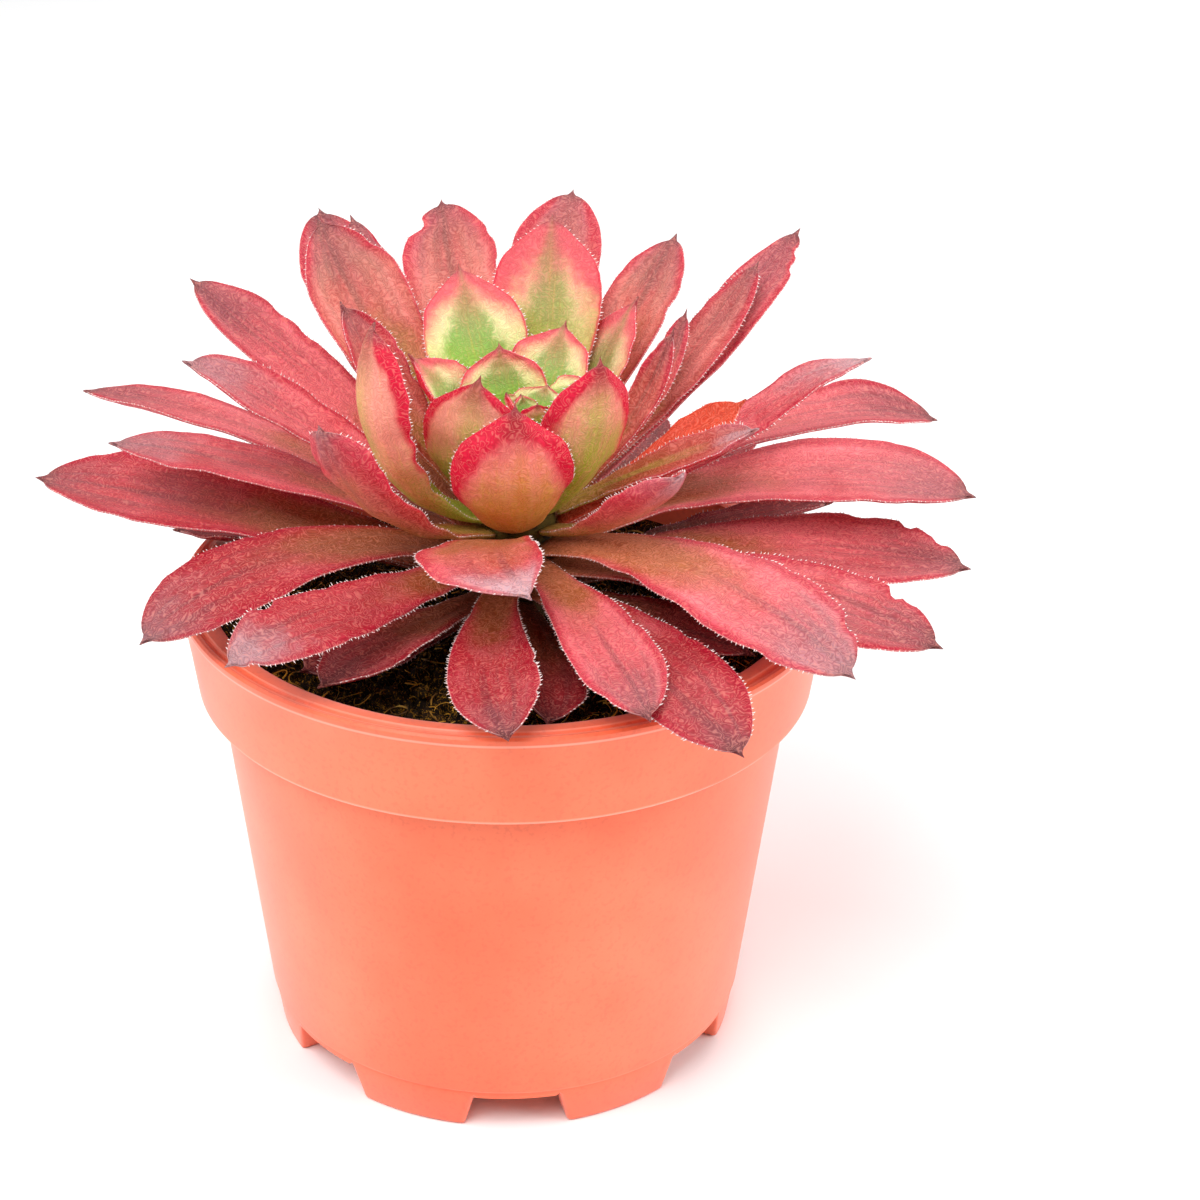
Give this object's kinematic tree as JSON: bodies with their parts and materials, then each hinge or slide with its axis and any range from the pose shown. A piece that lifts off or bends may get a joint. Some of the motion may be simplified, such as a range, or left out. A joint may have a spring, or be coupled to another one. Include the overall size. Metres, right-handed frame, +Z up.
{
  "type": "potted aeonium",
  "caption": "Red-leaved rosette succulent with a green heart, standing in dark soil in a round tapered plastic nursery pot with a collared rim.",
  "frame": {"origin": "on the ground under the middle of the pot, which is also the middle of the whole object's footprint", "axes": "+Z up along the pot's axis; +X to the right and the front towards -Y, so the plant is widest along X and narrowest along Y"},
  "size_m": [0.1719, 0.1374, 0.1502],
  "materials": {
    "pot": "satin moulded",
    "soil": "loose and rough",
    "stem": "bark",
    "low_leaf": "satin",
    "outer_leaf": "satin",
    "upper_leaf": "satin",
    "middle_leaf": "satin",
    "inner_leaf": "satin",
    "heart_bud": "satin"
  },
  "bodies": {
    "root": {"pot": "pot", "soil": "soil", "stem": "stem", "heart_bud": "heart_bud", "low_leaf_01": "low_leaf", "low_leaf_02": "low_leaf", "low_leaf_03": "low_leaf", "low_leaf_04": "low_leaf", "low_leaf_05": "low_leaf", "low_leaf_06": "low_leaf", "low_leaf_07": "low_leaf", "low_leaf_08": "low_leaf", "low_leaf_09": "low_leaf", "low_leaf_10": "low_leaf", "outer_leaf_01": "outer_leaf", "outer_leaf_02": "outer_leaf", "outer_leaf_03": "outer_leaf", "outer_leaf_04": "outer_leaf", "outer_leaf_05": "outer_leaf", "outer_leaf_06": "outer_leaf", "outer_leaf_07": "outer_leaf", "outer_leaf_08": "outer_leaf", "outer_leaf_09": "outer_leaf", "outer_leaf_10": "outer_leaf", "outer_leaf_11": "outer_leaf", "outer_leaf_12": "outer_leaf", "upper_leaf_01": "upper_leaf", "upper_leaf_02": "upper_leaf", "upper_leaf_03": "upper_leaf", "upper_leaf_04": "upper_leaf", "upper_leaf_05": "upper_leaf", "upper_leaf_06": "upper_leaf", "upper_leaf_07": "upper_leaf", "upper_leaf_08": "upper_leaf", "upper_leaf_09": "upper_leaf", "upper_leaf_10": "upper_leaf", "upper_leaf_11": "upper_leaf", "upper_leaf_12": "upper_leaf", "middle_leaf_01": "middle_leaf", "middle_leaf_02": "middle_leaf", "middle_leaf_03": "middle_leaf", "middle_leaf_04": "middle_leaf", "middle_leaf_05": "middle_leaf", "middle_leaf_06": "middle_leaf", "middle_leaf_07": "middle_leaf", "middle_leaf_08": "middle_leaf", "middle_leaf_09": "middle_leaf", "middle_leaf_10": "middle_leaf", "middle_leaf_11": "middle_leaf", "middle_leaf_12": "middle_leaf", "middle_leaf_13": "middle_leaf", "inner_leaf_01": "inner_leaf", "inner_leaf_02": "inner_leaf", "inner_leaf_03": "inner_leaf", "inner_leaf_04": "inner_leaf", "inner_leaf_05": "inner_leaf", "inner_leaf_06": "inner_leaf", "inner_leaf_07": "inner_leaf", "inner_leaf_08": "inner_leaf", "inner_leaf_09": "inner_leaf"}
  },
  "joints": []
}
